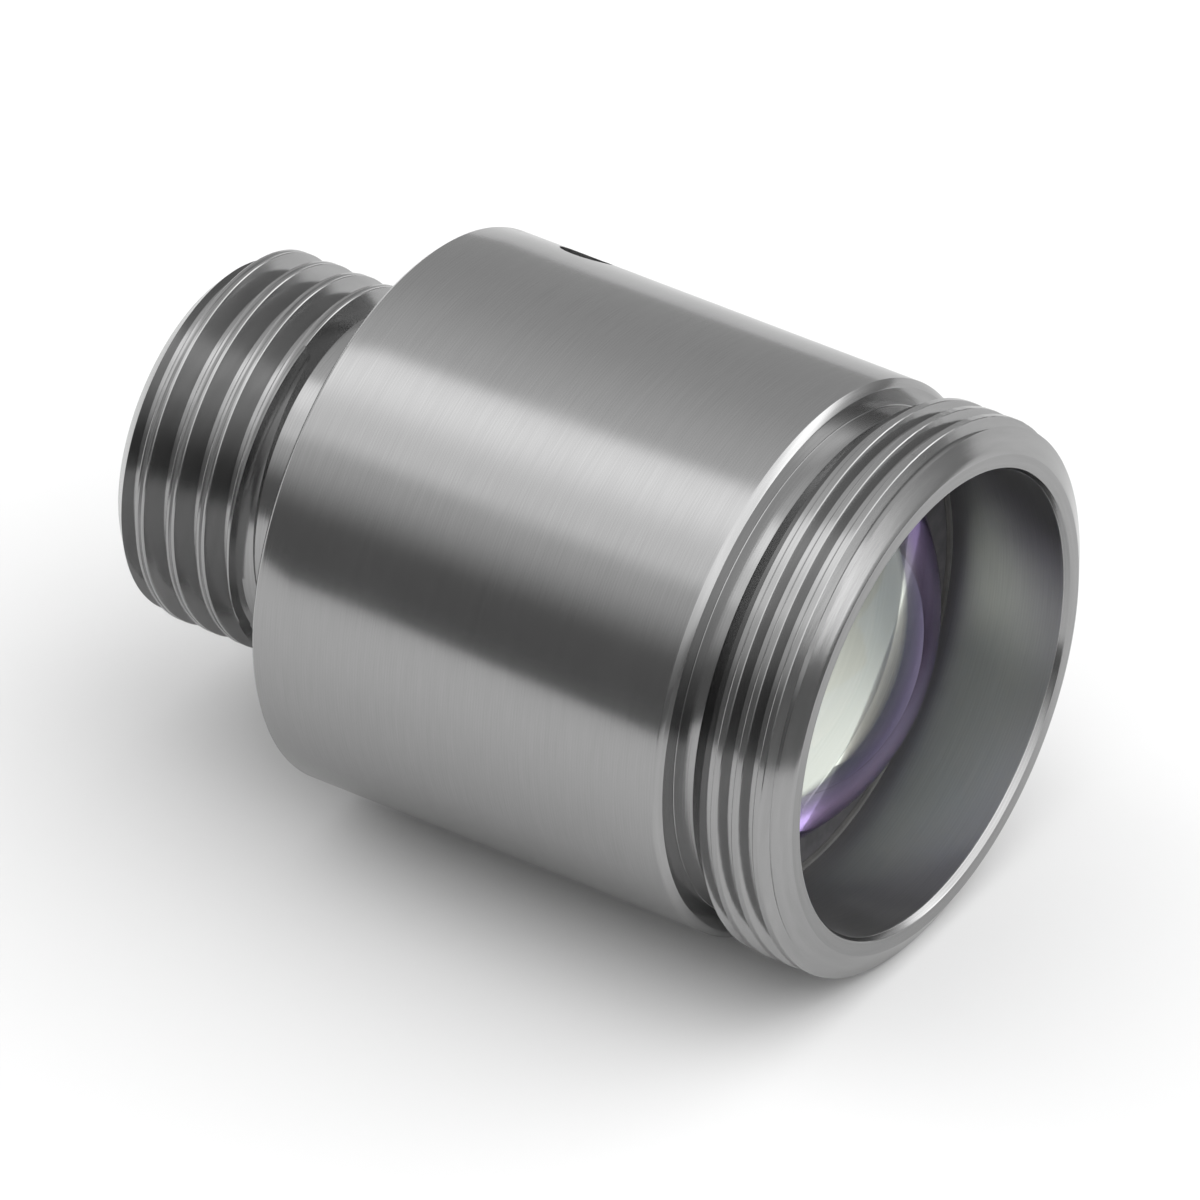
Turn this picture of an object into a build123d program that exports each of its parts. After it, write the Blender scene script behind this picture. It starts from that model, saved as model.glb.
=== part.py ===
"""Fibre collimator: a fixed-focus lens package for a screw-on fibre plug.

The optical axis is X. The plug screws on at the rear, -X, and the beam leaves at the front, +X.
The origin is on the axis in the plane of the barrel's rear face, and +Z is up. Millimetres.
"""
import os
from math import sqrt

from build123d import *

# The bond fill hole and the key notch lie on the far side of the part. A turn about the
# axis is counted from +Z towards -Y.
FILL_HOLE_TURN = -36.0
KEY_NOTCH_TURN = FILL_HOLE_TURN - 90.0

# Lens: one moulded piece of glass, aspheric towards the beam, weakly convex towards the fibre
LENS_DIA = 9.94
LENS_THICKNESS = 3.69
LENS_INDEX = 1.586
FRONT_CURVE_R = 5.1
FRONT_CONIC = -0.3
FRONT_OPTIC_DIA = 8.4
REAR_CURVE_R = 42.4
REAR_OPTIC_DIA = 8.0
LENS_BEVEL = 0.1

# Barrel: one turned piece
LENS_FIT = 0.03             # radial gap between the lens and its bore
BARREL_WALL = 1.0           # round the lens bore
SEAT_LEDGE = 0.7            # width of the step that the lens sits on
LENS_INSET = 0.87           # tip of the lens to the front face
REAR_BREAK = 0.1
BORE_BREAK = 0.12
END_LEN = 2.78              # shoulder to front face
SHOULDER_CHAMFER = 0.15
RELIEF_WIDTH = 0.37
RELIEF_WALL = 0.21
THREAD_STEP = 0.02          # front thread's crests lie this far below the barrel's surface
FRONT_CHAMFER = 0.6
MOUTH_LEN = 0.14
MOUTH_RISE = 0.07

# Receptacle: one turned piece, sized from the plug's ferrule outwards
FERRULE_DIA = 2.5
FERRULE_FIT = 0.001         # radial running gap
FERRULE_LEAD = 0.35
FERRULE_DEPTH = 7.28        # end face to the stop for the fibre's tip
HUB_WALL = 0.949
HUB_INSET = 1.3
HUB_BREAK = 0.1
PLUG_GAP = 0.8              # annular space for the plug's nose
PLUG_DEPTH = 3.4
PLUG_LEAD = 0.12
PLUG_WALL = 1.0             # from that space to the thread's crests
REAR_LEN = 5.0              # end face to the barrel
REAR_THREAD_LEN = 3.21
REAR_CHAMFER_LEN = 0.49
REAR_CHAMFER_RISE = 0.54
NECK_DEPTH = 0.41
NECK_SLOPE = 0.24
KEY_NOTCH_WIDTH = 2.15
KEY_NOTCH_LAND = 0.1        # left between the notch and the floor of the annular space
APERTURE_DIA = 1.8
APERTURE_LEN = 0.5
NOSE_LEN = 2.4              # stop to the front of the spigot
CONE_RISE = 1.1
SPIGOT_FIT = 0.02
SPIGOT_BREAK = 0.2

# Bonds
FILL_HOLE_DIA = 1.15
FILL_HOLE_X = 1.88
BOND_RECESS = 0.3
BOND_CLIMB = 0.08


def front_sag(radius):
    """Depth of the front surface behind its vertex: a conic of revolution."""
    curve = radius**2 / FRONT_CURVE_R
    return curve / (1 + sqrt(1 - (1 + FRONT_CONIC) * (radius / FRONT_CURVE_R) ** 2))


def rear_sag(radius):
    """Depth of the rear surface, a sphere, behind its vertex."""
    return REAR_CURVE_R - sqrt(REAR_CURVE_R**2 - radius**2)


def back_focus():
    """Distance from the lens's rear vertex to its focus, by the thick lens formula."""
    bend = LENS_INDEX - 1
    reduced = bend * LENS_THICKNESS / LENS_INDEX
    curves = 1 / FRONT_CURVE_R + 1 / REAR_CURVE_R - reduced / (FRONT_CURVE_R * REAR_CURVE_R)
    focal_length = 1 / (bend * curves)
    return focal_length * (1 - reduced / FRONT_CURVE_R)


# Stations along the axis, from the fibre's tip forwards
end_x = -REAR_LEN
stop_x = end_x + FERRULE_DEPTH
lens_rear_x = stop_x + back_focus()
lens_tip_x = lens_rear_x + LENS_THICKNESS
front_x = lens_tip_x + LENS_INSET
seat_x = lens_rear_x + rear_sag(REAR_OPTIC_DIA / 2)
rim_x = lens_tip_x - front_sag(FRONT_OPTIC_DIA / 2)
shoulder_x = front_x - END_LEN

# Radii, from the lens outwards
lens_r = LENS_DIA / 2
lens_bore_r = lens_r + LENS_FIT
cavity_r = lens_bore_r - SEAT_LEDGE
relief_r = lens_bore_r + RELIEF_WALL
barrel_r = lens_bore_r + BARREL_WALL
front_crest_r = barrel_r - THREAD_STEP

# Radii, from the ferrule outwards
ferrule_r = FERRULE_DIA / 2 + FERRULE_FIT
hub_r = ferrule_r + HUB_WALL
plug_r = hub_r + PLUG_GAP
rear_crest_r = plug_r + PLUG_WALL
neck_r = rear_crest_r - NECK_DEPTH
spigot_r = cavity_r - SPIGOT_FIT


def turned(*outline):
    """A full turn about the axis of a closed outline of (x, radius) points."""
    return revolve(make_face(Polyline(*outline, close=True)), Axis.X)


def facing(turn):
    """The frame on the axis whose Z points outwards at a turn about it."""
    return Location((0, 0, 0), (1, 0, 0), turn)


def barrel():
    """The housing: lens bore from the front, through bore from the rear, threaded front end."""
    run_up = front_crest_r - relief_r
    body = turned(
        (0, cavity_r + BORE_BREAK),
        (0, barrel_r - REAR_BREAK),
        (REAR_BREAK, barrel_r),
        (shoulder_x - SHOULDER_CHAMFER, barrel_r),
        (shoulder_x, barrel_r - SHOULDER_CHAMFER),
        (shoulder_x, relief_r),
        (shoulder_x + RELIEF_WIDTH, relief_r),
        (shoulder_x + RELIEF_WIDTH + run_up, front_crest_r),
        (front_x - FRONT_CHAMFER, front_crest_r),
        (front_x, front_crest_r - FRONT_CHAMFER),
        (front_x, lens_bore_r + MOUTH_RISE),
        (front_x - MOUTH_LEN, lens_bore_r),
        (seat_x, lens_bore_r),
        (seat_x, cavity_r),
        (BORE_BREAK, cavity_r),
    )
    return body - fill_hole(0, 2 * barrel_r)


def fill_hole(low, high):
    """A round rod along the fill hole, between two distances from the axis."""
    rod = Cylinder(FILL_HOLE_DIA / 2, high - low, align=(Align.CENTER, Align.CENTER, Align.MIN))
    return facing(FILL_HOLE_TURN) * Pos(FILL_HOLE_X, 0, low) * rod


def fc_receptacle():
    """The plug's socket: threaded ring, hub with the ferrule bore and its stop, bonded spigot."""
    thread_x = end_x + REAR_THREAD_LEN
    hub_x = end_x + HUB_INSET
    plug_x = end_x + PLUG_DEPTH
    spigot_x = stop_x + NOSE_LEN
    aperture_r = APERTURE_DIA / 2
    body = turned(
        (end_x, rear_crest_r - REAR_CHAMFER_RISE),
        (end_x + REAR_CHAMFER_LEN, rear_crest_r),
        (thread_x, rear_crest_r),
        (thread_x + NECK_SLOPE, neck_r),
        (0, neck_r),
        (0, spigot_r),
        (spigot_x - SPIGOT_BREAK, spigot_r),
        (spigot_x, spigot_r - SPIGOT_BREAK),
        (spigot_x, aperture_r + CONE_RISE),
        (stop_x + APERTURE_LEN, aperture_r),
        (stop_x, aperture_r),
        (stop_x, ferrule_r),
        (hub_x + FERRULE_LEAD, ferrule_r),
        (hub_x, ferrule_r + FERRULE_LEAD),
        (hub_x, hub_r - HUB_BREAK),
        (hub_x + HUB_BREAK, hub_r),
        (plug_x, hub_r),
        (plug_x, plug_r),
        (end_x + PLUG_LEAD, plug_r),
        (end_x, plug_r + PLUG_LEAD),
    )
    return body - key_notch()


def key_notch():
    """The cutter of the slot through the threaded ring, which turns the plug's key one way."""
    depth = PLUG_DEPTH - KEY_NOTCH_LAND
    floor = (hub_r + plug_r) / 2
    cutter = Box(2 * depth, KEY_NOTCH_WIDTH, rear_crest_r, align=(Align.CENTER, Align.CENTER, Align.MIN))
    return facing(KEY_NOTCH_TURN) * Pos(end_x, 0, floor) * cutter


def lens():
    """The glass: two optical surfaces and a flat rim with a bevelled front edge."""
    front_r = FRONT_OPTIC_DIA / 2
    rear_r = REAR_OPTIC_DIA / 2
    steps = 8
    radii = [front_r * (1 - step / steps) for step in range(steps + 1)]
    asphere = Spline(*[(lens_tip_x - front_sag(r), r) for r in radii])
    middle_r = rear_r / 2
    sphere = ThreePointArc(
        (lens_rear_x, 0),
        (lens_rear_x + rear_sag(middle_r), middle_r),
        (seat_x, rear_r),
    )
    rim = Polyline(
        (seat_x, rear_r),
        (seat_x, lens_r),
        (rim_x - LENS_BEVEL, lens_r),
        (rim_x, lens_r - LENS_BEVEL),
        (rim_x, front_r),
    )
    axis_line = Line((lens_tip_x, 0), (lens_rear_x, 0))
    return revolve(make_face(asphere + axis_line + sphere + rim), Axis.X)


def lens_bond():
    """The bead of adhesive between the lens's bevelled edge and the bore."""
    return turned(
        (rim_x, lens_r - LENS_BEVEL),
        (rim_x - LENS_BEVEL, lens_r),
        (rim_x - LENS_BEVEL, lens_bore_r),
        (rim_x + BOND_CLIMB, lens_bore_r),
    )


def receptacle_bond():
    """The adhesive in the fill hole, which stands on the spigot and ends below the surface."""
    spigot = Rot(0, 90, 0) * Cylinder(spigot_r, 4 * front_x)
    return fill_hole(spigot_r / 2, barrel_r - BOND_RECESS) - spigot


pieces = {
    "barrel": barrel(),
    "fc_receptacle": fc_receptacle(),
    "lens": lens(),
    "lens_bond": lens_bond(),
    "receptacle_bond": receptacle_bond(),
}

os.makedirs("parts", exist_ok=True)
for name, piece in pieces.items():
    export_step(piece, f"parts/{name}.step")
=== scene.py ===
# %% [markdown]
# Fibre collimator, dressed for its picture. The solids come in already at their real size and
# place. Here the two turned pieces get their true threads, the lens gets its optical surfaces
# and coating, and every surface gets the finish that it has on the real object. The lens's steep
# rim, its ground edge and the cavity behind it also carry painted light and shade in their colour.

from math import acos, cos, pi, radians, sin

import bmesh
import bpy
import numpy as np
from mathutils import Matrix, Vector


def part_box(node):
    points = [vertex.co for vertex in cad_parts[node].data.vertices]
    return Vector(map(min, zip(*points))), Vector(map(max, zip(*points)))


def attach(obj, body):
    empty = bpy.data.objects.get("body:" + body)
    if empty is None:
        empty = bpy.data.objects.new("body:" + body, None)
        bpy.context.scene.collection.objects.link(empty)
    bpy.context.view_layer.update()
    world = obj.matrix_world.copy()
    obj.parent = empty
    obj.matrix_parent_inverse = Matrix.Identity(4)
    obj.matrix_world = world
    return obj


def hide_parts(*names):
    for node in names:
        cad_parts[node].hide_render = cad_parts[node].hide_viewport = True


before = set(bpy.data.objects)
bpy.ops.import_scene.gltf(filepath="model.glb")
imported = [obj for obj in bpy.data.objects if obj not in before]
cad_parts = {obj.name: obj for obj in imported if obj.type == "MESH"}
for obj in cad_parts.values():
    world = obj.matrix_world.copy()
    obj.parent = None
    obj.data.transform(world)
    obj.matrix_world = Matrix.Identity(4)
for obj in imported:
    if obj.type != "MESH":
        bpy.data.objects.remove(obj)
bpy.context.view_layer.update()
MM = 0.001
print("solids:", sorted(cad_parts))

# %% [markdown]
# The camera stands in front of the part, a little above it and to one side, far away behind a
# long lens, so that the round ends look almost like plain ellipses. Its place could be set by
# eye, but here it was fitted to the outlines of the part, which leaves no guess.

# %% Camera
CAMERA_TURN = radians(33.498)
CAMERA_RISE = radians(36.015)
CAMERA_AT = Vector((168.19, -247.25, 214.90)) * MM
FOCAL_LENGTH = 538.95
SENSOR = 36.0

camera_data = bpy.data.cameras.new("camera")
camera_data.lens = FOCAL_LENGTH
camera_data.sensor_width = SENSOR
camera = bpy.data.objects.new("camera", camera_data)
camera.location = CAMERA_AT
camera.rotation_euler = (pi / 2 - CAMERA_RISE, 0, CAMERA_TURN)
bpy.context.collection.objects.link(camera)
bpy.context.scene.camera = camera
bpy.context.scene.view_settings.view_transform = "Standard"
print("camera is", round(CAMERA_AT.length / MM), "mm from the part's origin")

# %% [markdown]
# Everything on this part is turned, so one helper makes every surface. An outline is a list of
# (x, radius) points along the optical axis, and each point becomes a ring round it. A lathe in
# Blender is usually the Screw modifier, but working the rings out as whole arrays lets a ring
# lean forward as it goes round, and that is all a thread is.

# %% Rings round the optical axis
COLUMNS = 360
TURN = np.linspace(0, 2 * pi, COLUMNS + 1)
MERGE = 2e-8
CREASE = radians(11)


def rings(outline):
    """Plain rings. Each (x, radius) point keeps its place and size all the way round."""
    points = np.asarray(outline, dtype=float)
    return points[:, 0, None] + 0 * TURN, points[:, 1, None] + 0 * TURN


def softened(outline, size=0.02):
    """Break every corner of a closed outline by a small curve of three points.

    The curve leaves and meets the two sides at the given distance from the corner, or at 0.4 of a
    short side, and its middle is a quarter of each end and half of the corner.
    """
    corner = np.asarray(outline, dtype=float)
    back, ahead = np.roll(corner, 1, axis=0) - corner, np.roll(corner, -1, axis=0) - corner
    back_len = np.linalg.norm(back, axis=1, keepdims=True)
    ahead_len = np.linalg.norm(ahead, axis=1, keepdims=True)
    reach = np.minimum(size, 0.4 * np.minimum(back_len, ahead_len))
    first, last = corner + back / back_len * reach, corner + ahead / ahead_len * reach
    middle = (first + 2 * corner + last) / 4
    return np.stack([first, middle, last], axis=1).reshape(-1, 2)


def finish_mesh(piece):
    """Join seams and poles, drop faces with no area, and crease what turns sharply."""
    work = bmesh.new()
    work.from_mesh(piece.data)
    bmesh.ops.remove_doubles(work, verts=work.verts, dist=MERGE)
    bmesh.ops.dissolve_degenerate(work, edges=work.edges, dist=MERGE)
    loose = [edge for edge in work.edges if not edge.link_faces]
    bmesh.ops.delete(work, geom=loose, context="EDGES")
    open_edges = sum(len(edge.link_faces) != 2 for edge in work.edges)
    volume = work.calc_volume(signed=True)
    work.to_mesh(piece.data)
    work.free()
    piece.data.shade_smooth()
    piece.data.set_sharp_from_angle(angle=CREASE)
    faces = len(piece.data.polygons)
    print(piece.name, faces, "faces,", open_edges, "open edges,", round(volume * 1e9, 2), "mm3")


def skin(name, blocks, close=True):
    """A surface through all the rings of the blocks, in order.

    A point at distance x along the axis and radius r, at a turn t from +Z towards -Y, lies at
    (x, -r sin t, r cos t). Neighbouring rings are joined by four-sided faces, and the last ring
    is joined to the first unless the outline starts and ends on the axis.
    """
    x = np.concatenate([block[0] for block in blocks])
    r = np.concatenate([block[1] for block in blocks])
    points = np.stack([x, -r * np.sin(TURN), r * np.cos(TURN)], axis=-1).reshape(-1, 3) * MM
    index = np.arange(x.size).reshape(x.shape)
    here, ahead = index, np.roll(index, -1, axis=0)
    if not close:
        here, ahead = here[:-1], ahead[:-1]
    faces = np.stack([here[:, :-1], here[:, 1:], ahead[:, 1:], ahead[:, :-1]], axis=-1)
    mesh = bpy.data.meshes.new(name)
    mesh.from_pydata(points.tolist(), [], faces.reshape(-1, 4).tolist())
    piece = bpy.data.objects.new(name, mesh)
    bpy.context.collection.objects.link(piece)
    finish_mesh(piece)
    return piece


print("rings of", COLUMNS, "points")

# %% [markdown]
# A real thread is a helix, so its crests cross the part at a slight slant, and the turns are cut
# short by the chamfers at both ends. Stacked rings would look right from the side only. Each row
# of points here follows the helix, so every edge of the thread is an edge of the mesh. Where the
# thread would stand out of the turned shape, its points slide down their own flank until they
# meet it, and so the chamfer cuts the last turn as cleanly as the tool did.

# %% Where a flank leaves the turned shape
FLANK_ANGLE = radians(30)
HALVINGS = 30


def slide_down(x_low, r_low, x_high, r_high, limit):
    """The highest point on a straight flank that is still under the limit, by halving."""
    low, high = np.zeros_like(x_low), np.ones_like(x_low)
    for _ in range(HALVINGS):
        share = (low + high) / 2
        under = r_low + share * (r_high - r_low) <= limit(x_low + share * (x_high - x_low))
        low, high = np.where(under, share, low), np.where(under, high, share)
    x = x_low + low * (x_high - x_low)
    return x, np.minimum(r_low + low * (r_high - r_low), limit(x))


print("flanks at", round(np.degrees(FLANK_ANGLE)), "degrees to the normal")

# %% [markdown]
# The crests carry what makes a cut thread look real. The tool leaves a small broken edge on each
# side, and on the rear thread a torn strip between two low ridges. The breaks close gently where
# a chamfer or a fillet takes the crest away, because a sudden end would show as a nick. A few
# more points follow the turned shape between the top and a cut flank, and on the floor of the
# groove, so that no face bridges a bend of it.

# %% Threads
CREST_BREAK = 0.014
BREAK_RUN = 0.05
RIDGE = 0.045
FADE = 0.45
CURVE_SHARES = 0, 0.2, 0.4, 0.6, 0.8
FINE_STEPS = 4001


def thread(outline, pitch, depth, flat, start, full, last=None, dip=0.0, wear=None):
    """Rings of a right-handed thread of 60 degrees that fills a stretch of an outline.

    Crest number n has its middle at start + pitch (n + t / a full turn). Its flat top is at the
    greatest radius of the outline, and both flanks fall to the root at 30 degrees to the normal.
    full gives the two x between which the outline is at the crests' own radius. Each edge of the
    top is broken by a small chamfer, which shrinks to nothing where the crest leaves full, and
    between its ridges the top is lower by the dip. The last crest sinks into the root over the
    end of its turn, and no crest follows it. wear gives a change of height by turn and crest.
    """
    outline = np.asarray(outline)
    low_x, high_x, crest = outline[0, 0], outline[-1, 0], outline[:, 1].max()
    half = flat / 2
    foot = half + depth * np.tan(FLANK_ANGLE)

    def limit(x):
        return np.interp(x, outline[:, 0], outline[:, 1])

    if last is None:
        last = int((high_x - start) / pitch) + 1
    count = np.arange(int((low_x - start) / pitch) - 2, last + 2)
    centre = start + pitch * (count[:, None] + TURN / (2 * pi))
    stays = np.clip((last + 1 - count[:, None] - TURN / (2 * pi)) / FADE, 0, 1)
    height = crest + (0 if wear is None else wear(TURN, count[:, None])) + 0 * centre
    root = crest - depth + 0 * centre
    rows = []
    for side in (-1, 1):
        room = side * (full[(side + 1) // 2] - centre) - half
        broken = CREST_BREAK * np.clip(room / BREAK_RUN, 0, 1)
        edge_x = centre + side * (half - broken)
        edge_r = np.minimum(height, limit(edge_x))
        shelf_x = centre + side * (half + broken * sin(FLANK_ANGLE))
        shelf_r = height - broken * cos(FLANK_ANGLE)
        foot_x = centre + side * foot
        foot_r = np.minimum(root, limit(foot_x))
        cut = shelf_r > limit(shelf_x)
        slid_x, slid_r = slide_down(foot_x, root, shelf_x, shelf_r, limit)
        shelf = np.where(cut, slid_x, shelf_x), np.where(cut, slid_r, shelf_r)
        edge = np.where(cut, shelf[0], edge_x), np.where(cut, shelf[1], edge_r)
        rows.append([(foot_x, foot_r), shelf, edge])
    inner = half - CREST_BREAK - RIDGE
    left_x, right_x = rows[0][2][0], rows[1][2][0]
    tops = []
    for offset in (-inner, 0, inner):
        top_x = np.clip(np.clip(centre + offset, *full), left_x, right_x)
        tops.append((top_x, np.minimum(height - dip, limit(top_x))))
    curve_x = np.clip(full[1], left_x, right_x)
    for share in CURVE_SHARES:
        top_x = curve_x + share * (np.minimum(right_x, high_x) - curve_x)
        tops.append((top_x, np.minimum(height, limit(top_x))))
    fine_x = np.linspace(low_x, high_x, FINE_STEPS)
    deep_x = fine_x[limit(fine_x) >= crest - depth]
    floor = []
    for bend_x in (deep_x[0], deep_x[-1]):
        floor_x = np.clip(bend_x, centre + foot, centre + pitch - foot)
        floor.append((floor_x, np.minimum(root, limit(floor_x))))
    order = rows[0] + tops + rows[1][::-1] + floor
    x = np.stack([row[0] for row in order], axis=1).reshape(-1, TURN.size)
    sunk_r = rows[1][0][1]
    r = np.stack([sunk_r + stays * (row[1] - sunk_r) for row in order], axis=1)
    r = r.reshape(-1, TURN.size)
    before, after = x < low_x, x > high_x
    x = np.clip(x, low_x, high_x)
    return x, np.where(before | after, limit(x), r)


print("crest edges broken by", CREST_BREAK, "mm")

# %% [markdown]
# A hole or a slot that crosses a turned surface isn't round the axis any more. It could be woven
# into the rings, but a cutter is plainer: a rod for the hole and a bar for the slot, taken away
# with the Boolean modifier, as a drill and a mill take it away from the real piece.

# %% Cutters
def facing(turn, points):
    """Turn points whose third coordinate points outwards to a given turn about the axis."""
    x, y, z = np.asarray(points, dtype=float).T
    return np.stack([x, y * cos(turn) - z * sin(turn), y * sin(turn) + z * cos(turn)], axis=1)


def solid_bar(name, section, low, high, turn):
    """A closed prism: a section of (x, y) points, drawn out from low to high, then turned."""
    count = len(section)
    bottom = [(x, y, low) for x, y in section]
    top = [(x, y, high) for x, y in section]
    sides = [(i, (i + 1) % count, count + (i + 1) % count, count + i) for i in range(count)]
    caps = [tuple(range(count - 1, -1, -1)), tuple(range(count, 2 * count))]
    mesh = bpy.data.meshes.new(name)
    mesh.from_pydata((facing(turn, bottom + top) * MM).tolist(), [], sides + caps)
    bar = bpy.data.objects.new(name, mesh)
    bpy.context.collection.objects.link(bar)
    return bar


def cut_away(piece, cutter):
    """Take the cutter out of the piece and throw the cutter away."""
    modifier = piece.modifiers.new("cut", "BOOLEAN")
    modifier.object = cutter
    modifier.operation = "DIFFERENCE"
    modifier.solver = "EXACT"
    graph = bpy.context.evaluated_depsgraph_get()
    mesh = bpy.data.meshes.new_from_object(piece.evaluated_get(graph))
    piece.modifiers.clear()
    piece.data = mesh
    bpy.data.objects.remove(cutter)
    finish_mesh(piece)


print("cutters: solid_bar and cut_away")

# %% [markdown]
# The barrel is one piece of stainless steel turned from bar. From the rear it has a plain part
# 12 mm across, a small bright chamfer, a relief groove, three to four turns of fine thread and a
# chamfer down to the front ring. Inside are the bore for the lens, the ledge it sits on and the
# bore for the receptacle. The solid is the same shape without the thread, so the new skin takes
# its overall sizes from it. The relief groove and the front chamfer follow later, closer
# measurements.

# %% Barrel
_, barrel_high = (np.array(corner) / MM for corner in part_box("barrel"))
FRONT = barrel_high[0]
BARREL_R = barrel_high[2]
SHOULDER = FRONT - 2.78
SHOULDER_CHAMFER = 0.15
REAR_BREAK = 0.1
THREAD_CREST = BARREL_R - 0.02
RELIEF_R = 5.46
RELIEF_END = SHOULDER + 0.48
RUN_UP_END = RELIEF_END + THREAD_CREST - RELIEF_R
CHAMFER_START = FRONT - 0.36
CHAMFER_RISE = 0.6
BORE_R = 5.0
MOUTH_LEN = 0.14
MOUTH_RISE = 0.07
CAVITY_R = 4.3
CAVITY_BREAK = 0.12
SEAT = 8.33
HOLE_BAND = 0.9, 2.9
FILL_HOLE_X = 1.88
FILL_HOLE_R = 0.575
FILL_HOLE_TURN = radians(-36)
DRILL_SPAN = 3.5, 7.0
SPOKES = 48
BURR_DEPTH = 0.012

# The two points of the band keep the cut of the fill hole from stretching the faces beyond it.
barrel_outline = softened([
    (0, CAVITY_R + CAVITY_BREAK),
    (0, BARREL_R - REAR_BREAK),
    (REAR_BREAK, BARREL_R),
    (HOLE_BAND[0], BARREL_R),
    (HOLE_BAND[1], BARREL_R),
    (SHOULDER - SHOULDER_CHAMFER, BARREL_R),
    (SHOULDER, BARREL_R - SHOULDER_CHAMFER),
    (SHOULDER, RELIEF_R),
    (RELIEF_END, RELIEF_R),
    (RUN_UP_END, THREAD_CREST),
    (CHAMFER_START, THREAD_CREST),
    (FRONT, THREAD_CREST - CHAMFER_RISE),
    (FRONT, BORE_R + MOUTH_RISE),
    (FRONT - MOUTH_LEN, BORE_R),
    (SEAT, BORE_R),
    (SEAT, CAVITY_R),
    (CAVITY_BREAK, CAVITY_R),
])
# Each corner has become three points. The thread fills what lies between the corners at the end
# of the relief and at the front.
thread_from, thread_to = 3 * 8 + 2, 3 * 11


def burrs(turn, crest):
    """Small nicks in the crests: the product of three waves round the part, where it is positive.

    They are deepest near the top and the bottom of the part, and most of the turn has none.
    """
    wave = np.sin(53 * turn + 2.1 * crest) * np.sin(89 * turn - 1.3 * crest)
    wave = wave * np.sin(31 * turn + crest)
    where = np.clip(np.cos(turn + 0.5), 0, 1) ** 4 + 0.7 * np.clip(np.cos(turn - 2.0), 0, 1) ** 6
    return -BURR_DEPTH * where * np.clip(wave, 0, 1)


barrel = skin("barrel_turned", [
    rings(barrel_outline[:thread_from + 1]),
    thread(
        barrel_outline[thread_from:thread_to + 1],
        pitch=0.5, depth=0.215, flat=0.15, start=11.099,
        full=(RUN_UP_END, CHAMFER_START), wear=burrs,
    ),
    rings(barrel_outline[thread_to:]),
])
hole_angles = np.linspace(0, 2 * pi, SPOKES, endpoint=False)
hole_section = [(FILL_HOLE_X + FILL_HOLE_R * cos(a), FILL_HOLE_R * sin(a)) for a in hole_angles]
cut_away(barrel, solid_bar("drill", hole_section, *DRILL_SPAN, FILL_HOLE_TURN))
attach(barrel, "root")
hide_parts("barrel")

# %% [markdown]
# The receptacle is a second turned piece. Its threaded ring takes the plug's nut, its hub guides
# the ferrule to a stop at the lens's focus, and its spigot is bonded into the barrel. The slot in
# the ring lets the plug in one way round.

# %% Receptacle
receptacle_low, receptacle_high = (np.array(corner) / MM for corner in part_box("fc_receptacle"))
END = receptacle_low[0]
NOSE = receptacle_high[0]
SPIGOT_R = receptacle_high[2]
REAR_CREST = 4.0
REAR_CHAMFER_END = END + 0.49
REAR_CHAMFER_RISE = 0.54
NECK_R = 3.59
NECK_START = END + 3.64
NECK_FILLET = 0.55
FILLET_POINTS = 10
SPIGOT_BREAK = 0.2
CONE_R = 2.0
APERTURE_R = 0.9
APERTURE_END = 2.78
STOP = 2.28
FERRULE_R = 1.251
FERRULE_LEAD = 0.35
HUB_X = END + 1.3
HUB_R = 2.2
HUB_BREAK = 0.1
PLUG_FLOOR = END + 3.4
PLUG_R = 3.0
PLUG_LEAD = 0.12
TORN_DIP = 0.008
NOTCH_TURN = FILL_HOLE_TURN - pi / 2
NOTCH_WIDTH = 2.15
NOTCH_DEPTH = 3.3
MILL_SPAN = 2.6, 5.0

fillet_from = acos(1 - (REAR_CREST - NECK_R) / NECK_FILLET)
fillet_turn = np.linspace(fillet_from, 0, FILLET_POINTS)
fillet_x = NECK_START - NECK_FILLET * np.sin(fillet_turn)
fillet_r = NECK_R + NECK_FILLET * (1 - np.cos(fillet_turn))
receptacle_outline = softened([
    (END, REAR_CREST - REAR_CHAMFER_RISE),
    (REAR_CHAMFER_END, REAR_CREST),
    *zip(fillet_x, fillet_r),
    (0, NECK_R),
    (0, SPIGOT_R),
    (NOSE - SPIGOT_BREAK, SPIGOT_R),
    (NOSE, SPIGOT_R - SPIGOT_BREAK),
    (NOSE, CONE_R),
    (APERTURE_END, APERTURE_R),
    (STOP, APERTURE_R),
    (STOP, FERRULE_R),
    (HUB_X + FERRULE_LEAD, FERRULE_R),
    (HUB_X, FERRULE_R + FERRULE_LEAD),
    (HUB_X, HUB_R - HUB_BREAK),
    (HUB_X + HUB_BREAK, HUB_R),
    (PLUG_FLOOR, HUB_R),
    (PLUG_FLOOR, PLUG_R),
    (END + PLUG_LEAD, PLUG_R),
    (END, PLUG_R + PLUG_LEAD),
])
# The thread runs from the end face's corner to the last point of the fillet.
thread_to = 3 * (1 + FILLET_POINTS)
receptacle = skin("receptacle_turned", [
    rings(receptacle_outline[:3]),
    thread(
        receptacle_outline[2:thread_to + 1],
        pitch=0.75, depth=REAR_CREST - NECK_R, flat=0.19, start=-4.283,
        full=(REAR_CHAMFER_END, fillet_x[0]), last=3, dip=TORN_DIP,
    ),
    rings(receptacle_outline[thread_to:]),
])
half = NOTCH_WIDTH / 2
notch_end = END + NOTCH_DEPTH
notch_section = [(END - 1, -half), (notch_end, -half), (notch_end, half), (END - 1, half)]
cut_away(receptacle, solid_bar("mill", notch_section, *MILL_SPAN, NOTCH_TURN))
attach(receptacle, "root")
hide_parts("fc_receptacle")

# %% [markdown]
# The lens is moulded glass: an asphere towards the beam, a much flatter sphere towards the fibre,
# and a flat rim that seats on the ledge. The solid has the same surfaces, but a coarse mesh of
# them would show its facets in every reflection, so the glass is made again with fine rings.

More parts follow.
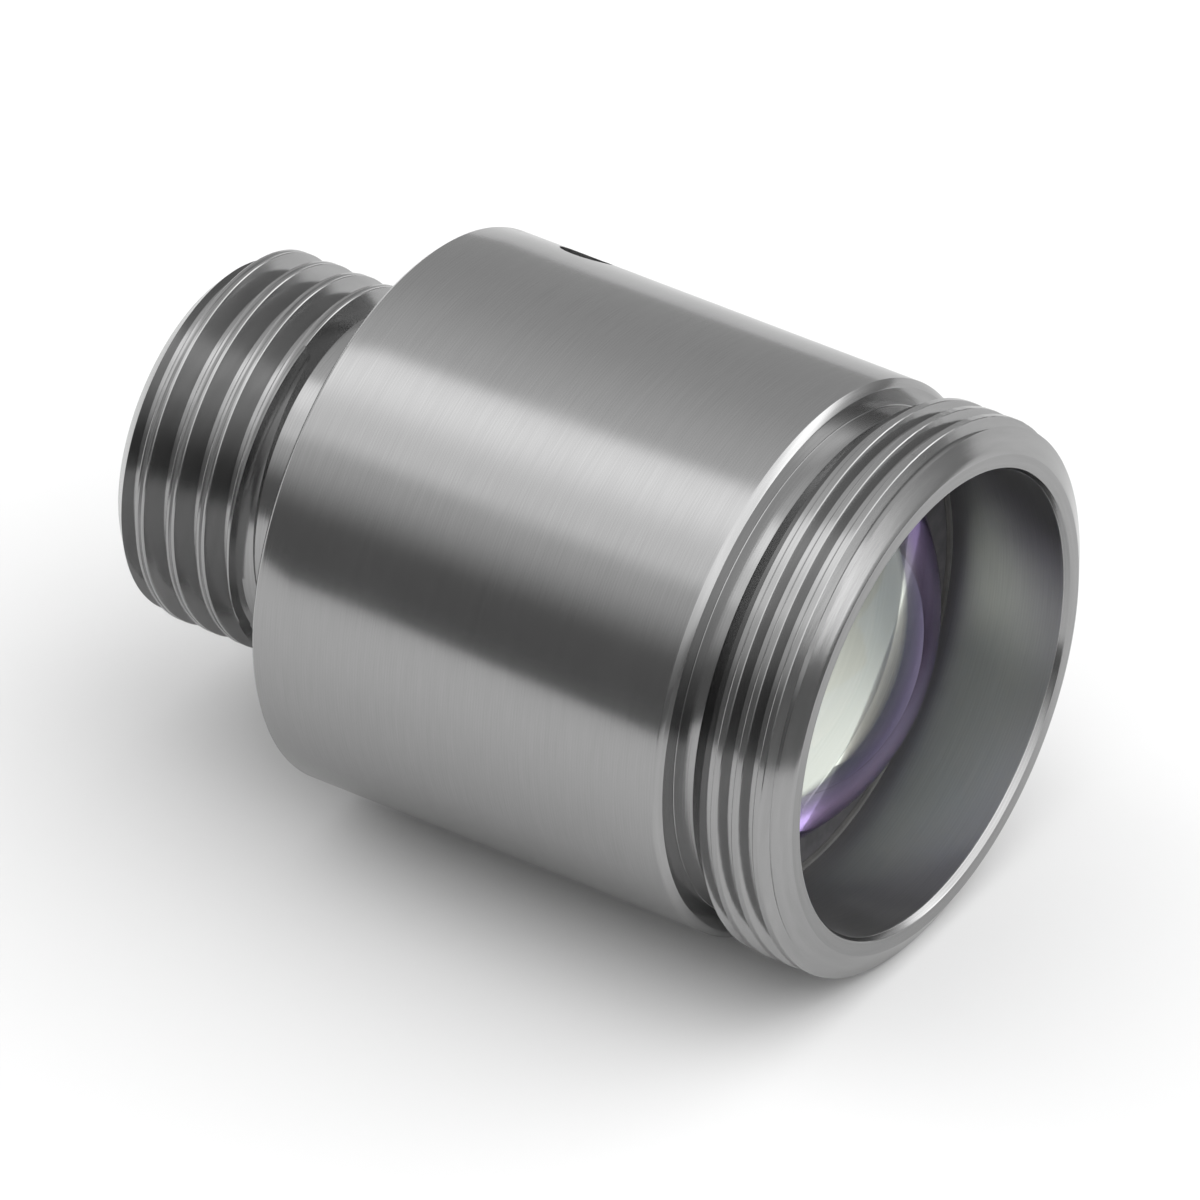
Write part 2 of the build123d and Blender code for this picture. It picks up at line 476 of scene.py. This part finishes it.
# %% Lens
lens_low, lens_high = (np.array(corner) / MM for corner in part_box("lens"))
LENS_R = lens_high[2]
LENS_TIP = lens_high[0]
LENS_BACK = lens_low[0]
FRONT_CURVE = 5.1
FRONT_CONIC = -0.3
FRONT_OPTIC_R = 4.2
REAR_CURVE = 42.4
REAR_OPTIC_R = 4.0
BEVEL = 0.1
REAR_BEVEL = 0.03
FRONT_RINGS, REAR_RINGS = 70, 24


def conic_sag(r, curve, conic):
    """Depth behind the vertex: r squared over R, over 1 + root(1 - (1 + k) (r / R) squared)."""
    return r**2 / curve / (1 + np.sqrt(1 - (1 + conic) * (r / curve) ** 2))


front_r = np.linspace(0, FRONT_OPTIC_R, FRONT_RINGS)[::-1]
rear_r = np.linspace(0, REAR_OPTIC_R, REAR_RINGS)
front_x = LENS_TIP - conic_sag(front_r, FRONT_CURVE, FRONT_CONIC)
rear_x = LENS_BACK + conic_sag(rear_r, REAR_CURVE, 0)
RIM_FRONT = front_x[0]
rim = [
    (rear_x[-1], LENS_R - REAR_BEVEL),
    (rear_x[-1] + REAR_BEVEL, LENS_R),
    (RIM_FRONT - BEVEL, LENS_R),
    (RIM_FRONT, LENS_R - BEVEL),
]
lens = skin("lens_glass", [
    rings(np.stack([rear_x, rear_r], axis=1)),
    rings(rim),
    rings(np.stack([front_x, front_r], axis=1)),
], close=False)
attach(lens, "root")
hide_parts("lens")

# %% [markdown]
# A thin bead of cured adhesive holds the lens against its ledge. It has a hollow surface, because
# wet adhesive climbs the walls beside it, and three points up the bore's wall give that hollow.

# %% Adhesive bead round the lens
WALL_GAP = 0.001
GLASS_GAP = 0.004
BEAD_HOLLOW = (0.07, 0.001), (0.035, 0.035), (0.015, 0.08)

bead_outline = [
    (RIM_FRONT - BEVEL, LENS_R + GLASS_GAP),
    (RIM_FRONT - BEVEL, BORE_R - WALL_GAP),
    *[(RIM_FRONT + rise, BORE_R - inwards) for rise, inwards in BEAD_HOLLOW],
    (RIM_FRONT + GLASS_GAP, LENS_R - BEVEL + GLASS_GAP / 2),
]
bead = skin("lens_bead", [rings(bead_outline)])
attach(bead, "root")
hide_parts("lens_bond")

# %% [markdown]
# A second drop in the fill hole locks the receptacle once it is in focus. It lies across the
# optical axis, so its rings go round the hole's own line. It has sunk a little as it cured, and
# the sunk face is a shallow bowl.

# %% Adhesive in the fill hole
PLUG_TOP = 5.7
PLUG_FOOT = 4.285
PLUG_GAP = 0.002
BOWL_DEPTH = 0.08
BOWL_RINGS = 12


def drop(name, outline, x, turn):
    """A round plug about the fill hole's own line, from (height, radius) points, pole to pole."""
    height, radius = np.asarray(outline, dtype=float).T
    around = np.linspace(0, 2 * pi, SPOKES + 1)
    grid = np.stack([
        x + radius[:, None] * np.cos(around),
        radius[:, None] * np.sin(around),
        height[:, None] + 0 * around,
    ], axis=-1)
    index = np.arange(grid.shape[0] * grid.shape[1]).reshape(grid.shape[:2])
    faces = np.stack([index[:-1, :-1], index[:-1, 1:], index[1:, 1:], index[1:, :-1]], axis=-1)
    points = facing(turn, grid.reshape(-1, 3)) * MM
    mesh = bpy.data.meshes.new(name)
    mesh.from_pydata(points.tolist(), [], faces.reshape(-1, 4).tolist())
    piece = bpy.data.objects.new(name, mesh)
    bpy.context.collection.objects.link(piece)
    finish_mesh(piece)
    return piece


bowl_r = np.linspace(FILL_HOLE_R - PLUG_GAP, 0, BOWL_RINGS)
bowl_h = PLUG_TOP - BOWL_DEPTH * (1 - (bowl_r / FILL_HOLE_R) ** 2)
plug = drop("fill_plug", [
    (PLUG_FOOT, 0), (PLUG_FOOT, FILL_HOLE_R - PLUG_GAP), *zip(bowl_h, bowl_r),
], FILL_HOLE_X, FILL_HOLE_TURN)
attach(plug, "root")
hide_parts("receptacle_bond")

# %% [markdown]
# Materials are built from nodes, and short helpers keep that readable. The first adds a node with
# its settings and inputs, and the others make what comes up again and again: a sum, a colour
# ramp, a grey and a new material.

# %% Node helpers
def add(tree, kind, inputs=None, **settings):
    """A node of a kind, with settings as attributes and inputs as values or linked sockets."""
    made = tree.nodes.new(kind)
    for key, value in settings.items():
        setattr(made, key, value)
    for key, value in (inputs or {}).items():
        if isinstance(value, bpy.types.NodeSocket):
            tree.links.new(value, made.inputs[key])
        else:
            made.inputs[key].default_value = value
    return made


def maths(tree, operation, *values):
    """The result of a Math node on two or three values or sockets."""
    return add(tree, "ShaderNodeMath", dict(enumerate(values)), operation=operation).outputs[0]


def ramp(tree, value, stops):
    """A colour ramp through (position, grey or colour) stops."""
    made = add(tree, "ShaderNodeValToRGB", {"Fac": value})
    elements = made.color_ramp.elements
    while len(elements) < len(stops):
        elements.new(0.5)
    for element, (position, tone) in zip(elements, stops):
        element.position = position
        element.color = grey(tone) if isinstance(tone, float) else (*tone, 1)
    return made.outputs["Color"]


def grey(value):
    """A grey as a colour with full alpha."""
    return (value, value, value, 1)


def new_material(name):
    """A new material, its node tree and its Principled shader."""
    material = bpy.data.materials.new(name)
    material.use_nodes = True
    return material, material.node_tree, material.node_tree.nodes["Principled BSDF"]


print("node helpers: add, maths, ramp, grey and new_material")

# %% [markdown]
# A turned surface is a very fine spiral groove. It shows as thin lines that run round the axis on
# a cylinder and in circles on a flat face. One number that grows along both is the distance along
# the axis plus a part of the radius. Noise along that number, drawn out round the axis, gives
# uneven lines, and a sine of it gives the even marks of the tool's feed. Both go out as a height.

# %% Turned lines, as a node group
RADIUS_SHARE = 0.37
COARSER = 0.17, 0.6, 0.6
COARSE_WEIGHT = 0.4
FEED_WEIGHT = 0.1

lines = bpy.data.node_groups.new("turned_lines", "ShaderNodeTree")
lines.interface.new_socket("Lines per mm", in_out="INPUT", socket_type="NodeSocketFloat")
lines.interface.new_socket("Length", in_out="INPUT", socket_type="NodeSocketFloat")
lines.interface.new_socket("Feeds per mm", in_out="INPUT", socket_type="NodeSocketFloat")
lines.interface.new_socket("Height", in_out="OUTPUT", socket_type="NodeSocketFloat")
ins = lines.nodes.new("NodeGroupInput")
outs = lines.nodes.new("NodeGroupOutput")
place = add(lines, "ShaderNodeTexCoord")
parts = add(lines, "ShaderNodeSeparateXYZ", {"Vector": place.outputs["Object"]})
x_mm = maths(lines, "MULTIPLY", parts.outputs["X"], 1000.0)
y_mm = maths(lines, "MULTIPLY", parts.outputs["Y"], 1000.0)
z_mm = maths(lines, "MULTIPLY", parts.outputs["Z"], 1000.0)
yy = maths(lines, "MULTIPLY", y_mm, y_mm)
rr = maths(lines, "MULTIPLY_ADD", z_mm, z_mm, yy)
radius = maths(lines, "POWER", rr, 0.5)
along = maths(lines, "MULTIPLY_ADD", radius, RADIUS_SHARE, x_mm)
across = maths(lines, "MULTIPLY", along, ins.outputs["Lines per mm"])
round_y = maths(lines, "DIVIDE", y_mm, ins.outputs["Length"])
round_z = maths(lines, "DIVIDE", z_mm, ins.outputs["Length"])
spun = add(lines, "ShaderNodeCombineXYZ", {"X": across, "Y": round_y, "Z": round_z})
fine = add(lines, "ShaderNodeTexNoise", {
    "Vector": spun.outputs[0], "Scale": 1.0, "Detail": 2.0, "Roughness": 0.6,
})
coarse_at = add(lines, "ShaderNodeVectorMath", {0: spun.outputs[0], 1: COARSER}, operation="MULTIPLY")
coarse = add(lines, "ShaderNodeTexNoise", {"Vector": coarse_at.outputs[0], "Scale": 1.0, "Detail": 3.0})
both = maths(lines, "MULTIPLY_ADD", coarse.outputs["Fac"], COARSE_WEIGHT, fine.outputs["Fac"])
feeds = maths(lines, "MULTIPLY", along, ins.outputs["Feeds per mm"])
feed = maths(lines, "SINE", maths(lines, "MULTIPLY", feeds, 2 * pi))
height = maths(lines, "MULTIPLY_ADD", feed, FEED_WEIGHT, both)
lines.links.new(height, outs.inputs["Height"])
print("node group:", lines.name)

# %% [markdown]
# Handling leaves faint cloudy patches on bare steel, glass and resin. They break up a reflection
# that would otherwise look printed, so every finish on this part uses them at its own size.

# %% Handling marks, as a node group
marks = bpy.data.node_groups.new("handling_marks", "ShaderNodeTree")
marks.interface.new_socket("Size", in_out="INPUT", socket_type="NodeSocketFloat")
marks.interface.new_socket("Cloud", in_out="OUTPUT", socket_type="NodeSocketFloat")
ins = marks.nodes.new("NodeGroupInput")
outs = marks.nodes.new("NodeGroupOutput")
place = add(marks, "ShaderNodeTexCoord")
per_m = maths(marks, "DIVIDE", 1000.0, ins.outputs["Size"])
cloud = add(marks, "ShaderNodeTexNoise", {
    "Vector": place.outputs["Object"], "Scale": per_m, "Detail": 4.0, "Roughness": 0.6,
})
marks.links.new(cloud.outputs["Fac"], outs.inputs["Cloud"])
CLOUD_LOW, CLOUD_HIGH = 0.3, 0.7


def patches(tree, size):
    """The cloud of the handling marks in a material, with patches about size millimetres wide."""
    handled = add(tree, "ShaderNodeGroup", node_tree=marks)
    handled.inputs["Size"].default_value = size
    return handled.outputs["Cloud"]


print("node group:", marks.name)

# %% [markdown]
# Bare stainless steel is all reflection: no diffuse colour, a grey tint, and a gloss that the
# turned lines spread along the axis. The lines go in twice, as bump, which spreads the
# reflection, and as a slight change of tint, which keeps them in sight where the light is even.
# The barrel also goes a little darker at a grazing angle, where its own lines shade it. Each way
# of cutting gives another finish, so the faces are sorted by where they lie on the piece. The
# cavity behind the lens is matte, and its pale tint is painted light for the light that the lens
# focuses onto its wall.

# %% Steel
LINE_LENGTH = 1.2
FEEDS_PER_MM = 15.4
PATCH_SIZE = 3.0
LINES_DARK, LINES_LIGHT = 0.45, 0.95
GLOSS_SPREAD = 0.85, 1.2
SKIN = 0.02
FACE_SKIN = 0.001
CAVITY_FROM = 0.2
TORN_BAND = 0.2 * TORN_DIP


def steel(name, tint, roughness, per_mm, bump, contrast=0.05, grazing=1.0):
    """Turned stainless steel: its tint, gloss, lines per mm and their contrast, and grazing tint."""
    material, tree, shader = new_material(name)
    turned = add(tree, "ShaderNodeGroup", node_tree=lines)
    turned.inputs["Lines per mm"].default_value = per_mm
    turned.inputs["Length"].default_value = LINE_LENGTH
    turned.inputs["Feeds per mm"].default_value = FEEDS_PER_MM
    dark, light = tint * (1 - contrast), tint * (1 + contrast)
    tone = ramp(tree, turned.outputs["Height"], [(LINES_DARK, dark), (LINES_LIGHT, light)])
    tree.links.new(tone, shader.inputs["Base Color"])
    gloss = add(tree, "ShaderNodeMapRange", {
        "Value": patches(tree, PATCH_SIZE), "From Min": CLOUD_LOW, "From Max": CLOUD_HIGH,
        "To Min": roughness * GLOSS_SPREAD[0], "To Max": roughness * GLOSS_SPREAD[1],
    })
    tree.links.new(gloss.outputs["Result"], shader.inputs["Roughness"])
    relief = add(tree, "ShaderNodeBump", {
        "Height": turned.outputs["Height"], "Strength": 1.0, "Distance": bump,
    })
    tree.links.new(relief.outputs["Normal"], shader.inputs["Normal"])
    shader.inputs["Metallic"].default_value = 1.0
    shader.inputs["Specular Tint"].default_value = grey(grazing)
    return material


def dress(piece, main, *zones):
    """Give a piece its main material, and others to the faces whose middle lies in their zone.

    A zone is a material and a test of a face's x and its distance from the axis.
    """
    middle = np.empty(len(piece.data.polygons) * 3)
    piece.data.polygons.foreach_get("center", middle)
    x, y, z = middle.reshape(-1, 3).T / MM
    slot = np.zeros(x.size, dtype=np.int32)
    piece.data.materials.clear()
    piece.data.materials.append(main)
    for number, (material, inside) in enumerate(zones, start=1):
        piece.data.materials.append(material)
        slot[inside(x, np.hypot(y, z))] = number
    piece.data.polygons.foreach_set("material_index", slot)
    print(piece.name, "faces by material:", np.bincount(slot).tolist())


barrel_steel = steel("barrel_steel", 0.32, 0.16, 45.0, 0.6e-6, grazing=0.85)
faced_steel = steel("faced_steel", 0.275, 0.18, 50.0, 0.6e-6)
receptacle_steel = steel("receptacle_steel", 0.32, 0.18, 38.0, 0.6e-6)
bore_steel = steel("bore_steel", 0.4, 0.34, 30.0, 0.6e-6)
# Painted light: the cavity's pale tint stands in for the light that the lens focuses onto its wall.
cavity_steel_painted_light = steel("cavity_steel_painted_light", 0.72, 0.55, 5.0, 4e-6, contrast=0.12)
torn_steel = steel("torn_steel", 0.2, 0.4, 12.0, 3e-6, contrast=0.3)
dress(
    barrel, barrel_steel,
    (faced_steel, lambda x, r: (x > FRONT - FACE_SKIN) & (r > BORE_R + MOUTH_RISE - SKIN / 2)),
    (bore_steel, lambda x, r: (r < BORE_R + SKIN) & (x > SEAT)),
    (cavity_steel_painted_light, lambda x, r: (r < CAVITY_R + SKIN) & (x > CAVITY_FROM) & (x < SEAT)),
)
dress(
    receptacle, receptacle_steel,
    (torn_steel, lambda x, r: (abs(r - REAR_CREST + TORN_DIP) < TORN_BAND) & (x < fillet_x[0])),
)

# %% [markdown]
# The glass carries an anti-reflection coating: a film thinner than a wavelength of light. It takes
# the green out of a reflection and leaves violet, most of all at a slant. Blender works that out
# from the film's thickness and index. A real coating has many layers and turns more violet than
# one film does, and the steep glass near the rim shows the dark wall behind it. So where the
# surface turns away from view, the pale tint gives way to a dark violet one, with a thin violet
# gloss over it. That dark violet tint is painted shade for the dark wall and a painted violet
# reflection for the coating. The edge of the lens and its flat rim are ground, not polished, and
# their near-black colour is painted shade, as they lie in shadow inside the barrel.

# %% Coated glass
GLASS_IOR = 1.586
FILM_THICKNESS = 145.0
FILM_IOR = 1.38
GLASS_PATCHES = 2.0
PALE_TINT = [(CLOUD_LOW, (0.92, 0.97, 0.87)), (CLOUD_HIGH, (0.96, 1.0, 0.92))]
STEEP = [(0.47, 0.0), (0.51, 1.0)]
# Painted shade and painted violet reflection: the dark violet tint of the steep glass near the rim.
STEEP_PAINTED_SHADE_TINT = [(0.5, (0.09, 0.08, 0.1)), (0.7, (0.13, 0.1, 0.18))]
GLOSS = [(0.5, 0.0), (0.62, 1.0)]
GLOSS_IOR = 1.1
GLOSS_TINT = 0.86, 0.78, 0.98, 1
GROUND_PATCHES = 0.4
# Painted shade: the ground edge and flat rim lie in shadow inside the barrel, so their colour is near
# black.
GROUND_PAINTED_SHADE_TONES = [(CLOUD_LOW, (0.04, 0.039, 0.042)), (CLOUD_HIGH, (0.07, 0.068, 0.073))]

glass, tree, shader = new_material("coated_glass")
shader.inputs["Roughness"].default_value = 0.02
shader.inputs["IOR"].default_value = GLASS_IOR
shader.inputs["Transmission Weight"].default_value = 1.0
shader.inputs["Thin Film Thickness"].default_value = FILM_THICKNESS
shader.inputs["Thin Film IOR"].default_value = FILM_IOR
slant = add(tree, "ShaderNodeLayerWeight", {"Blend": 0.5}).outputs["Facing"]
# The glass's tint: pale where it faces the view, and painted shade with a painted violet reflection
# where it turns away.
through = add(tree, "ShaderNodeMix", {
    "Factor": ramp(tree, slant, STEEP),
    "A": ramp(tree, patches(tree, GLASS_PATCHES), PALE_TINT),
    "B": ramp(tree, slant, STEEP_PAINTED_SHADE_TINT),
}, data_type="RGBA")
tree.links.new(through.outputs["Result"], shader.inputs["Base Color"])
tree.links.new(ramp(tree, slant, GLOSS), shader.inputs["Coat Weight"])
shader.inputs["Coat IOR"].default_value = GLOSS_IOR
shader.inputs["Coat Tint"].default_value = GLOSS_TINT

# The ground edge and rim: ground glass, with its near-black colour painted shade.
ground, tree, shader = new_material("ground_edge_painted_shade")
tone = ramp(tree, patches(tree, GROUND_PATCHES), GROUND_PAINTED_SHADE_TONES)
tree.links.new(tone, shader.inputs["Base Color"])
shader.inputs["Roughness"].default_value = 0.7


def off_optics(x, r):
    """Whether a face of the lens lies outside both of its optical surfaces."""
    return (r > REAR_OPTIC_R + SKIN) & ((x < RIM_FRONT - SKIN / 2) | (r > FRONT_OPTIC_R + SKIN / 2))


dress(lens, glass, (ground, off_optics))

# %% [markdown]
# Cured adhesive is a clear amber-grey resin. In so thin a bead it looks dark, with a soft gloss
# and a slightly uneven surface.

# %% Adhesive
RESIN_PATCHES = 0.5
RESIN_TONES = [(CLOUD_LOW, (0.022, 0.021, 0.02)), (CLOUD_HIGH, (0.05, 0.048, 0.045))]
RESIN_BUMP = 2e-5

resin, tree, shader = new_material("cured_adhesive")
cloud = patches(tree, RESIN_PATCHES)
tree.links.new(ramp(tree, cloud, RESIN_TONES), shader.inputs["Base Color"])
relief = add(tree, "ShaderNodeBump", {"Height": cloud, "Strength": 0.6, "Distance": RESIN_BUMP})
tree.links.new(relief.outputs["Normal"], shader.inputs["Normal"])
shader.inputs["Roughness"].default_value = 0.4
dress(bead, resin)
dress(plug, resin)
print("adhesive on", bead.name, "and", plug.name)

# %% [markdown]
# The part lies on its side on pale paper. Polished metal has no look of its own, it shows what
# stands round it, so the studio is the larger half of this picture: an even pale side behind, a
# long soft box overhead that starts with a sharp edge and fades forwards, and a dark room on the
# camera's side. Directions ahead of the part, which its chamfers and front ring show, have levels
# of their own. Lamps and cards could make it. Here the world itself holds it, as a brightness for
# each direction, because a world gives smooth light with little noise.

# %% Studio light
BRIGHTEST = 3.4
AHEAD_FROM, AHEAD_TO = -0.2, 0.35
BEHIND_PART = [
    (-90, 0.66), (-60, 0.66), (-41, 0.72), (-29, 0.82), (-17, 0.93), (-6, 1.0), (0, 1.95), (9, 2.06),
    (16, 1.9), (22, 1.6), (27, 1.46), (37, 1.46), (43, 0.9), (51, 0.82), (57, 0.62), (63, 0.38),
    (69, 0.2), (90, 0.18),
]
AHEAD_OF_PART = [
    (-90, 0.3), (-86, 0.36), (-79, 0.55), (-72, 0.75), (-65, 1.4), (-60, 2.9), (-55, 3.4),
    (-45, 3.2), (-30, 2.2), (22, 2.1), (37, 1.85), (52, 1.35), (60, 1.1), (67, 0.75), (76, 0.36),
    (90, 0.28),
]


def brightness(tree, share, levels):
    """A ramp through (degrees, level), where degrees run from -90 behind to 90 on the near side."""
    stops = [((degrees + 90) / 180, level / BRIGHTEST) for degrees, level in levels]
    return ramp(tree, share, stops)


world = bpy.data.worlds.new("studio_light")
bpy.context.scene.world = world
world.use_nodes = True
tree = world.node_tree
place = add(tree, "ShaderNodeTexCoord")
way = add(tree, "ShaderNodeSeparateXYZ", {"Vector": place.outputs["Generated"]})
near = maths(tree, "MULTIPLY", way.outputs["Y"], -1.0)
turn = maths(tree, "ARCTAN2", near, way.outputs["Z"])
share = add(tree, "ShaderNodeMapRange", {"Value": turn, "From Min": -pi / 2, "From Max": pi / 2})
ahead = add(tree, "ShaderNodeMapRange", {
    "Value": way.outputs["X"], "From Min": AHEAD_FROM, "From Max": AHEAD_TO,
}, interpolation_type="SMOOTHSTEP")
studio = add(tree, "ShaderNodeMix", {
    "Factor": ahead.outputs[0],
    "A": brightness(tree, share.outputs[0], BEHIND_PART),
    "B": brightness(tree, share.outputs[0], AHEAD_OF_PART),
}, data_type="RGBA")
background = tree.nodes["Background"]
tree.links.new(studio.outputs["Result"], background.inputs["Color"])
background.inputs["Strength"].default_value = BRIGHTEST
print("studio light from", len(BEHIND_PART) + len(AHEAD_OF_PART), "levels")

# %% [markdown]
# The paper ends a little way in front of the part, and past its edge the room is dark. The metal
# shows that edge as the lower border of its dark band. The edge itself would be out of the
# picture, so low dark cards that the camera doesn't see stand where the paper would end, one
# towards the camera and one ahead of the part.

# %% Paper and card
PAPER = -BARREL_R
PAPER_REACH = 700.0
PAPER_TONE = 0.73
CARD_AWAY = 46.0
CARD_REACH = 300.0
CARD_RISE = 3.0
CARD_TONE = 0.2
FRONT_CARD_AWAY = 20.0
FRONT_CARD_RISE = 1.0
FRONT_CARD_SIDES = -20.0, 10.0
FRONT_CARD_TONE = 0.26
STAGE_ROUGHNESS = 0.9
UNEVEN = 0.005


def flat_piece(name, corners, color):
    """A flat four-sided stage piece through corners in millimetres, with faint uneven colour."""
    mesh = bpy.data.meshes.new(name)
    mesh.from_pydata([Vector(corner) * MM for corner in corners], [], [(0, 1, 2, 3)])
    piece = bpy.data.objects.new(name, mesh)
    bpy.context.collection.objects.link(piece)
    material, tree, shader = new_material(name)
    place = add(tree, "ShaderNodeTexCoord")
    grain = add(tree, "ShaderNodeTexNoise", {
        "Vector": place.outputs["Object"], "Scale": 40.0, "Detail": 1.0,
    })
    stops = [(CLOUD_LOW, color - UNEVEN), (CLOUD_HIGH, color + UNEVEN)]
    tree.links.new(ramp(tree, grain.outputs["Fac"], stops), shader.inputs["Base Color"])
    shader.inputs["Roughness"].default_value = STAGE_ROUGHNESS
    shader.inputs["Specular IOR Level"].default_value = 0.1
    mesh.materials.append(material)
    return piece


flat_piece("paper", [
    (-PAPER_REACH, -PAPER_REACH, PAPER), (PAPER_REACH, -PAPER_REACH, PAPER),
    (PAPER_REACH, PAPER_REACH, PAPER), (-PAPER_REACH, PAPER_REACH, PAPER),
], PAPER_TONE)
towards = Vector((sin(CAMERA_TURN), -cos(CAMERA_TURN), 0))
sideways = Vector((cos(CAMERA_TURN), sin(CAMERA_TURN), 0))
foot = towards * CARD_AWAY + Vector((0, 0, PAPER))
top = foot + Vector((0, 0, CARD_RISE - PAPER))
card = flat_piece("dark_card", [
    foot - sideways * CARD_REACH, foot + sideways * CARD_REACH,
    top + sideways * CARD_REACH, top - sideways * CARD_REACH,
], CARD_TONE)
card.visible_camera = False
card_x = FRONT + FRONT_CARD_AWAY
near_y, far_y = FRONT_CARD_SIDES
front_card = flat_piece("front_card", [
    (card_x, near_y, PAPER), (card_x, far_y, PAPER),
    (card_x, far_y, FRONT_CARD_RISE), (card_x, near_y, FRONT_CARD_RISE),
], FRONT_CARD_TONE)
front_card.visible_camera = False
front_card.visible_diffuse = False
front_card.visible_shadow = False
print("paper at", PAPER, "mm, cards", CARD_AWAY, "and", FRONT_CARD_AWAY, "mm away")

# %% [markdown]
# Past the paper the camera would look into the studio light itself. A plain pale shell round
# everything stands in its way, seen by the camera alone.

# %% Pale backdrop
BACKDROP_R = 1200.0
BACKDROP_TONE = 0.93

backdrop_mesh = bpy.data.meshes.new("backdrop")
shell = bmesh.new()
bmesh.ops.create_uvsphere(shell, u_segments=48, v_segments=24, radius=BACKDROP_R * MM)
bmesh.ops.reverse_faces(shell, faces=shell.faces)
shell.to_mesh(backdrop_mesh)
shell.free()
backdrop = bpy.data.objects.new("backdrop", backdrop_mesh)
bpy.context.collection.objects.link(backdrop)
backdrop.visible_diffuse = False
backdrop.visible_glossy = False
backdrop.visible_transmission = False
backdrop.visible_shadow = False
pale, tree, shader = new_material("backdrop_pale")
tree.nodes.remove(shader)
glow = add(tree, "ShaderNodeEmission", {"Color": grey(BACKDROP_TONE)})
tree.links.new(glow.outputs[0], tree.nodes["Material Output"].inputs["Surface"])
backdrop_mesh.materials.append(pale)
print("backdrop", BACKDROP_R, "mm away")
